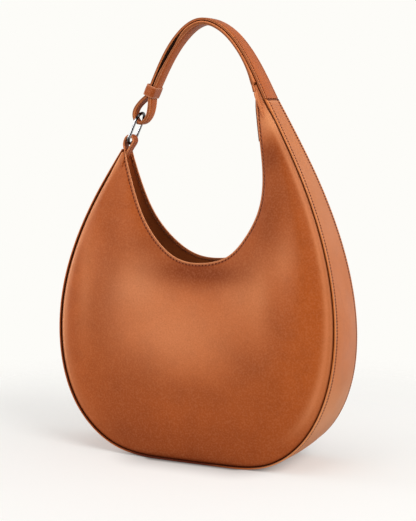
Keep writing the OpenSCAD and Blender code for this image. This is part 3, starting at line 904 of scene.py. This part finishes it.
def strip_path():
    """Middle line and width of the strap's leather: out along the outer layer, round the loop,
    and back along the inner layer."""
    out = np.linspace(-OVERLAP, strap_line.total, 230)
    back = np.linspace(strap_line.total, INNER_END, 220)
    share = np.linspace(0, 1, 110)[1:-1]
    loop = spline(LOOP, share)
    round_ring = strap_foot + loop[:, :1] * strap_in + loop[:, 1:] * lean
    places = np.concatenate([strap_line.at(out, STRAP_T / 2), round_ring,
                             strap_line.at(back, stack(back) - STRAP_T / 2)])
    thick = np.concatenate([0 * out + STRAP_T, LOOP_T + 0 * share, inner_layer(back)])
    widths = np.concatenate([value(STRAP_WIDTHS, np.maximum(out, 0) / strap_line.total),
                             value(LOOP_WIDTHS, share),
                             value(STRAP_WIDTHS, back / strap_line.total)])
    steps = np.concatenate([[0], np.cumsum(np.linalg.norm(np.diff(places, axis=0), axis=1))])
    return places, widths, thick, steps


def strip_section(width, edges, crown):
    """Outer face of a flat strip: a shallow channel along each row of stitches, a fine crease
    by each edge, and a slight crown between."""
    half = width[:, None] / 2
    first = -half + edges[None]
    last = first[:, -1:]
    middle = np.linspace(0, 1, 14)[None, 1:-1]
    across = np.concatenate([first, last - 2 * last * middle, -first[:, ::-1]], 1)
    from_edge = half - np.abs(across)
    depth = (0.28 * hump(from_edge, STRAP_STITCH, 0.6) + 0.2 * hump(from_edge, 1.5, 0.25)
             - crown * (1 - (across / half) ** 2))
    return np.stack([across, depth], -1), from_edge


STRAP_EDGES = np.array([1.05, 1.3, 1.5, 1.7, 2.1, 2.4, 2.6, 2.8, 3.2, 3.9])


def bend_to_strap(piece):
    """Bakes the piece's placement into its mesh."""
    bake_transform(piece)


def make_strap():
    places, widths, thick, steps = strip_path()
    way = unit(np.gradient(places, axis=0))
    side = left_of(way)
    crown = 0.3 + 0.6 * smooth((steps - strap_line.total - 60) / 30)
    section, from_edge = strip_section(widths, STRAP_EDGES, crown[:, None])
    section[..., 1] -= STRAP_T / 2
    rings, kept = wrap(section, thick[:, None], 1)
    origin, depth = space(places), space(side)
    count = section.shape[1]
    along = steps[:, None] + 0 * from_edge
    pale = 0.5 * hump(from_edge, 1.0, 0.35)
    pale = spread(pale, kept)
    groove = spread(0 * from_edge, kept)
    groove[:, count:count + 4] = groove[:, -4:] = np.array([0.0, 0.6, 0.6, 0.0])
    across = spread(from_edge, kept)
    across[:, count:] = 30
    across[steps > STRAP_SEWN] = 30
    # Painted shade on the outer layer's last stretch before the loop, by the keeper
    shaded = 0.5 * smooth((steps - 170) / 50) * (1 - smooth((steps - strap_line.total - 10) / 15))
    piece = skin("strap_leather_strip",
                 in_space(origin, np.broadcast_to(Y, origin.shape), depth, rings),
                 traits={"along": spread(along, kept), "across": across, "groove": groove,
                         "pale": pale, "painted_highlight": 0 * groove, "painted_shade": shaded[:, None] + 0 * groove})
    place(piece, None, "strap_leather", strap_leather, "strap")
    bend_to_strap(piece)
    span = np.arange(2 * GUSSET_PITCH, STRAP_SEWN, GUSSET_PITCH) - GUSSET_PITCH / 2
    at = np.stack([np.interp(span, steps, places[:, k]) for k in (0, 1)], -1)
    turn = unit(np.stack([np.interp(span, steps, way[:, k]) for k in (0, 1)], -1))
    width = np.interp(span, steps, widths)
    out = -space(left_of(turn))
    for name, sign in (("front", -1), ("back", 1)):
        middle = (space(at) + (STRAP_T / 2 - 0.26) * out
                  + (sign * (width / 2 - STRAP_STITCH))[:, None] * Y)
        row = stitches(name + "_strap_stitches", middle, space(turn), out, GUSSET_PITCH - 0.9,
                       None, "strap_leather", thread)
        bend_to_strap(row)


def make_core():
    """Near-black filler in the room between the strap's two layers, narrower than they are, painted as
    the shade in the gap between them.
    """
    length = np.linspace(TONGUE + 4, strap_line.total - 2, 160)
    wide = value(STRAP_WIDTHS, length / strap_line.total)
    half = (stack(length) - STRAP_T - inner_layer(length))[:, None] / 2
    side = np.linspace(-1, 1, 9)[None] * (wide / 2 - 1.6)[:, None]
    rings, _ = wrap(np.stack([side, -half + 0 * side], -1), 2 * half, 1, 2)
    origin = space(strap_line.at(length, STRAP_T + half[:, 0]))
    depth = space(left_of(strap_line.way(length)))
    piece = skin("strap_gap_shade", in_space(origin, np.broadcast_to(Y, origin.shape), depth, rings))
    place(piece, None, "strap_leather", gap_shade_leather)
    bend_to_strap(piece)


def rounded_box(width, height, radius, count):
    """Closed path round a rectangle with rounded corners: corner arcs joined by straights, with
    its outward normals."""
    corner = np.linspace(0, np.pi / 2, count)
    room = np.array([width, height]) / 2 - radius
    points, normals = [], []
    corners = np.array([(1, 1), (-1, 1), (-1, -1), (1, -1)])
    for k, sign in enumerate(corners):
        turn = corner + k * np.pi / 2
        n = np.stack([np.cos(turn), np.sin(turn)], -1)
        points.append(sign * room + radius * n)
        normals.append(n)
        goal = corners[(k + 1) % 4] * room + radius * n[-1]
        share = np.linspace(0, 1, 12)[1:-1, None]
        points.append(points[-1][-1] + (goal - points[-1][-1]) * share)
        normals.append(np.repeat(n[-1:], 10, 0))
    return np.concatenate(points), np.concatenate(normals)


# Room in the keeper across the layers and along Y, the path's corners, and the band's section
KEEPER_ROOM, KEEPER_CORNER = np.array([9.4, 17.5]), 2.8
KEEPER_L, KEEPER_T, KEEPER_EDGE = 12.4, 1.6, 0.55
KEEPER_SHIFT = 2.7


def make_keeper():
    """Band round both layers: a rounded bar section carried round a rounded rectangle."""
    path, normal = rounded_box(*(KEEPER_ROOM + KEEPER_T), KEEPER_CORNER, 8)
    length, thick, r = KEEPER_L, KEEPER_T, KEEPER_EDGE
    turn = np.linspace(0, 2 * np.pi, 25)[:-1]
    along = np.clip(1.35 * np.cos(turn), -1, 1) * (length / 2 - r) + r * np.cos(turn)
    out = np.clip(1.6 * np.sin(turn), -1, 1) * (thick / 2 - r) + r * np.sin(turn)
    out = out - 0.14 * hump(np.abs(along), length / 2 - 1.6, 0.4) * (out > 0)
    middle = strap_foot + KEEPER_SHIFT * strap_in - (length / 2) * lean
    x_way, z_way = space(strap_in), space(-lean)
    spine = space(middle)[None] + path[:, :1] * x_way + path[:, 1:] * Y
    push = normal[:, :1] * x_way + normal[:, 1:] * Y
    rings = spine[:, None] + out[None, :, None] * push[:, None] + along[None, :, None] * z_way
    edge = np.clip((np.abs(along) - (length / 2 - 0.9)) / 0.6, 0, 1)
    edge = np.broadcast_to(edge[None], rings.shape[:2])
    # Painted highlight on the band's left side
    piece = skin("keeper_band", rings, closed=True,
                 traits={"pale": 0.5 * edge, "groove": 0 * edge, "painted_shade": 0 * edge,
                         "painted_highlight": 0 * edge + 0.45 * np.clip(-normal[:, :1], 0, 1) ** 2})
    place(piece, "keeper", "keeper_leather", keeper_leather, "keeper")


TAB_W, TAB_T = 10.8, 2.3
TAB_LOOP = [(-94.7, 335.0), (-94.1, 339.4), (-92.4, 343.8), (-88.8, 346.8), (-85.0, 346.0),
            (-82.2, 342.4), (-83.0, 338.4), (-86.4, 334.2), (-89.8, 329.2), (-94.2, 321.6),
            (-98.9, 313.9)]
TAB_EDGES = np.array([1.0, 1.25, 1.5, 1.75, 2.2, 2.6, 3.2])


def make_tab():
    """Tab: a strip up from the inside of the gusset, over the ring's wire in a loop, and down
    again between the tips of the panels."""
    tip = outline.places[0]
    down = outline.ways[0]
    into = left_of(down)
    leg = tip + (GUSSET_T + 0.4) * into
    path = [leg + 18 * down + 1.0 * into, leg + 9 * down + 1.0 * into,
            leg + 1.5 * down + 0.9 * into, *TAB_LOOP]
    places = spline(path, np.linspace(0, 1, 150))
    way = unit(np.gradient(places, axis=0))
    side = left_of(way)
    width = np.full(len(places), TAB_W)
    section, from_edge = strip_section(width, TAB_EDGES, 0.1)
    rings, kept = wrap(section - np.array([0, TAB_T / 2]), TAB_T, 1)
    pale = spread(0.5 * hump(from_edge, 1.0, 0.35), kept)
    origin, depth = space(places), space(side)
    piece = skin("ring_tab_strip", in_space(origin, np.broadcast_to(Y, origin.shape), depth, rings),
                 traits={"pale": pale, "groove": 0 * pale, "painted_highlight": 0 * pale, "painted_shade": 0 * pale})
    place(piece, "bag", "strap_leather", plain_leather, "ring_tab")


# The throat strip's ends before the rim's end, its thickness, and how much each side draws in
# over THROAT_RISE from THROAT_TURN on
THROAT_START, THROAT_END, THROAT_T = 58, 11, 1.7
THROAT_TURN, THROAT_RISE, THROAT_DRAW = 26, 15, 1.8
THROAT_EDGES = np.array([0.9, 1.3, 1.9, 2.7, 3.8])


def make_throat():
    """Strip over both rim edges at the throat, its two sides drawn in towards its end."""
    length = np.linspace(rim.total - THROAT_START, rim.total - THROAT_END, 60)
    half = value(MOUTH_GAPS, length / rim.total) / 2 + 0.5
    half -= THROAT_DRAW * smooth((length - rim.total + THROAT_TURN) / THROAT_RISE)
    section, from_edge = strip_section(2 * half, THROAT_EDGES, 0.0)
    section[..., 1] = -0.15 * hump(from_edge, 1.6, 1.0)
    rings, kept = wrap(section * np.array([1, -1]) + np.array([0, 0.35]), -THROAT_T, 1)
    way = rim.way(length)
    origin, depth = space(rim.at(length)), space(left_of(way))
    pale = spread(0.25 * hump(from_edge, 1.0, 0.5), kept)
    piece = skin("throat_leather_strip",
                 in_space(origin, np.broadcast_to(Y, origin.shape), depth, rings),
                 traits={"pale": pale, "groove": 0 * pale, "painted_highlight": 0 * pale, "painted_shade": 0 * pale})
    place(piece, "bag", "throat_leather", throat_leather, "throat_strip")


# Radius of the ring's half circles, of its wire, and the ends of its middle line
RING_R, WIRE_R = 8.5, 1.65
RING_FOOT, RING_HEAD = np.array([-88.9, 337.7]), np.array([-73.7, 370.6])


def make_ring():
    """Ring of round wire: a circle carried round two straights joined by half circles."""
    reach = np.linalg.norm(RING_HEAD - RING_FOOT)
    up = space((RING_HEAD - RING_FOOT) / reach)
    half = np.linspace(0, np.pi, 49)
    turn = np.stack([np.cos(half), np.sin(half)], -1)
    rise = np.array([0, reach - 2 * RING_R])
    sides = np.linspace(0, 1, 12)[1:-1, None]
    path = np.concatenate([turn * RING_R + rise, [-RING_R, 0] + rise * (1 - sides),
                           -turn * RING_R, [RING_R, 0] + rise * sides])
    out = np.concatenate([turn, np.repeat(turn[-1:], 10, 0), -turn, np.repeat(turn[:1], 10, 0)])
    round_wire = np.linspace(0, 2 * np.pi, 29)[:-1]
    through = np.cross(Y, up)
    middle = space(RING_FOOT) + path[:, :1] * Y + (path[:, 1:] + RING_R) * up
    push = out[:, :1] * Y + out[:, 1:] * up
    # The ring's two half circles, where it sits in the loops, get painted shade and dark reflection
    bend = smooth((np.abs(path[:, 1] - rise[1] / 2) - rise[1] / 2) / 3)
    rings = middle[:, None] + WIRE_R * (np.cos(round_wire)[None, :, None] * push[:, None]
                                        + np.sin(round_wire)[None, :, None] * through)
    painted_shade_and_reflection = np.broadcast_to(bend[:, None], rings.shape[:2])
    piece = skin("ring_wire", rings, closed=True, traits={"painted_shade_and_reflection": painted_shade_and_reflection})
    place(piece, "ring", "ring_metal", chrome, "ring")


make_gusset()
make_panels()
make_facings()
make_linings()
make_strap()
make_core()
make_keeper()
make_tab()
make_throat()
make_ring()
for node, finish in (("snap_socket", brass), ("snap_stud", brass),
                     ("base_board", board_finish("fibreboard"))):
    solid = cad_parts[node]
    solid.data.materials.clear()
    solid.data.materials.append(finish)


# Camera, floor and light

def aim(thing, spot, goal):
    """Puts a lamp or the camera at a spot, looking at a goal."""
    thing.location = spot
    thing.rotation_euler = (Vector(goal) - Vector(spot)).to_track_quat("-Z", "Y").to_euler()
    bpy.context.collection.objects.link(thing)


# The picture's height, its focal length and the horizon's row in pixels, and the camera's azimuth
# and its distance in metres
PICTURE_H, FOCAL, HORIZON_ROW = 521, 1350, 98
AZIMUTH, AWAY = np.radians(25.0), 1.4563
TARGET = np.array([0.0052, 0, 0.213])
SENSOR = 36.0


def make_camera():
    data = bpy.data.cameras.new("camera")
    data.sensor_width, data.lens = SENSOR, FOCAL * SENSOR / PICTURE_H
    data.clip_end = 60
    camera = bpy.data.objects.new("camera", data)
    elevation = np.arctan((PICTURE_H / 2 - HORIZON_ROW) / FOCAL)
    back = np.array([np.sin(AZIMUTH) * np.cos(elevation), -np.cos(AZIMUTH) * np.cos(elevation),
                     np.sin(elevation)])
    aim(camera, TARGET + AWAY * back, TARGET)
    bpy.context.scene.camera = camera


# Name, azimuth, elevation, distance, width, height and brightness of each soft box
LAMPS = [("key", -26, 11, 1.7, 1.0, 0.75, 3.6), ("side", 60, 32, 1.9, 1.0, 1.0, 5.2),
         ("back_side", 105, 12, 1.9, 1.0, 1.2, 1.6), ("left_strip", -84, 8, 1.8, 0.4, 1.3, 4.0),
         ("top", 0, 80, 1.8, 1.6, 1.4, 1.4)]
LAMP_GOAL = (0, 0, 0.23)


def lamp(name, turn, rise, distance, width, height, brightness):
    """Soft box seen from the bag at an azimuth and elevation, as bright as given where a white
    sheet is 1: its power is that brightness times pi times its area."""
    data = bpy.data.lights.new(name, "AREA")
    data.shape, data.size, data.size_y = "RECTANGLE", width, height
    data.energy = brightness * np.pi * width * height
    light = bpy.data.objects.new(name, data)
    a, e = np.radians(turn), np.radians(rise)
    spot = np.array([np.sin(a) * np.cos(e), -np.cos(a) * np.cos(e), np.sin(e)]) * distance
    aim(light, spot + LAMP_GOAL, LAMP_GOAL)
    light.visible_camera = False


BACKGROUND = rgb(253, 252, 248)
AMBIENT = 0.36


class Room(Finish):
    """The world's nodes, made the same way as a material's."""

    def __init__(self, world):
        self.tree = world.node_tree
        self.tree.nodes.clear()


def make_room():
    """World: the background for the camera, a dimmer backdrop in front of the bag for mirrored
    rays, and an even light for the rest."""
    world = bpy.data.worlds.new("studio")
    bpy.context.scene.world = world
    world.use_nodes = True
    room = Room(world)
    way = room.node("ShaderNodeTexCoord", output="Generated")
    rise = room.node("ShaderNodeSeparateXYZ", None, {0: way}, output="Z")
    height = 1.0 - room.ramp(rise, 0.3, 0.6) * 0.8
    behind = room.node("ShaderNodeVectorMath", {"operation": "DOT_PRODUCT"},
                       {0: way, 1: (-np.sin(AZIMUTH), np.cos(AZIMUTH), 0.0)}, output="Value")
    backdrop = (room.ramp(behind, -0.35, 0.25) * (1.0 - room.ramp(behind, 0.6, 1.0) * 0.5)
                + 0.03)
    seen = room.node("ShaderNodeBackground", None, {"Color": BACKGROUND, "Strength": 1.0})
    mirrored = room.node("ShaderNodeBackground", None,
                         {"Color": BACKGROUND, "Strength": height * backdrop})
    lit = room.node("ShaderNodeBackground", None, {"Color": (1, 1, 1, 1), "Strength": AMBIENT})
    rays = "ShaderNodeLightPath"
    glossy = room.node(rays, output="Is Glossy Ray")
    others = room.node("ShaderNodeMixShader", None, {0: glossy, 1: lit, 2: mirrored})
    straight = (room.node(rays, output="Is Camera Ray")
                + room.node(rays, output="Is Transmission Ray"))
    both = room.node("ShaderNodeMixShader", None, {0: straight, 1: others, 2: seen})
    output = room.tree.nodes.new("ShaderNodeOutputWorld")
    room.tree.links.new(both.socket, output.inputs["Surface"])


# The floor's half size, and the middle, half lengths and rounding of the base's foot on it, all
# in metres
FLOOR = 3
FOOT_X, FOOT_HALF, FOOT_ROUND = 0.008, (0.045, 0.034), 0.018
# Colour of the paper, and of the shadow painted on it right at the base
PAPER, CONTACT_SHADE = (0.62, 0.613, 0.598, 1), (0.1, 0.08, 0.07, 1)


def make_floor():
    """Plain paper that glows a little for the camera, except close to the base, and fades out far from
    the bag. Right at the base a contact shadow is painted into the paper's colour. Closeness is the
    distance past a rounded rectangle under the base."""
    mesh = bpy.data.meshes.new("floor")
    mesh.from_pydata([(-FLOOR, -FLOOR, 0), (FLOOR, -FLOOR, 0), (FLOOR, FLOOR, 0),
                      (-FLOOR, FLOOR, 0)], [], [(0, 1, 2, 3)])
    floor = bpy.data.objects.new("floor", mesh)
    bpy.context.collection.objects.link(floor)
    f = Finish("floor")
    far = f.node("ShaderNodeVectorMath", {"operation": "LENGTH"}, {0: f.place()}, output="Value")
    side_x, side_y = [f.node("ShaderNodeSeparateXYZ", None, {0: f.place()}, output=axis)
                      for axis in "XY"]
    past_x = ((side_x - FOOT_X).math("ABSOLUTE") - FOOT_HALF[0]).math("MAXIMUM", 0.0)
    past_y = (side_y.math("ABSOLUTE") - FOOT_HALF[1]).math("MAXIMUM", 0.0)
    past = (past_x ** 2.0 + past_y ** 2.0).math("SQRT") - FOOT_ROUND
    open_floor = f.ramp(past, -0.018, 0.044)
    contact_shade = 1.0 - f.ramp(past, -0.006, 0.003)
    paper = f.node("ShaderNodeBsdfDiffuse", None, {"Color": f.mix(contact_shade * 0.8, PAPER, CONTACT_SHADE)})
    shine = (f.node("ShaderNodeLightPath", output="Is Camera Ray") * open_floor
             * (f.ramp(side_y, -0.05, 0.3) * 0.07 + AMBIENT))
    bright = f.node("ShaderNodeEmission", None, {"Color": BACKGROUND, "Strength": shine})
    shown = f.node("ShaderNodeAddShader", None, {0: paper, 1: bright})
    clear = f.node("ShaderNodeBsdfTransparent")
    fade = f.node("ShaderNodeMixShader", None, {0: f.ramp(far, 0.3, 0.62), 1: shown, 2: clear})
    f.tree.links.new(fade.socket, f.tree.nodes["Material Output"].inputs["Surface"])
    floor.data.materials.append(f.material)
    return floor


make_camera()
for values in LAMPS:
    lamp(*values)
make_room()
floor = make_floor()

bpy.context.scene.view_settings.view_transform = "Standard"
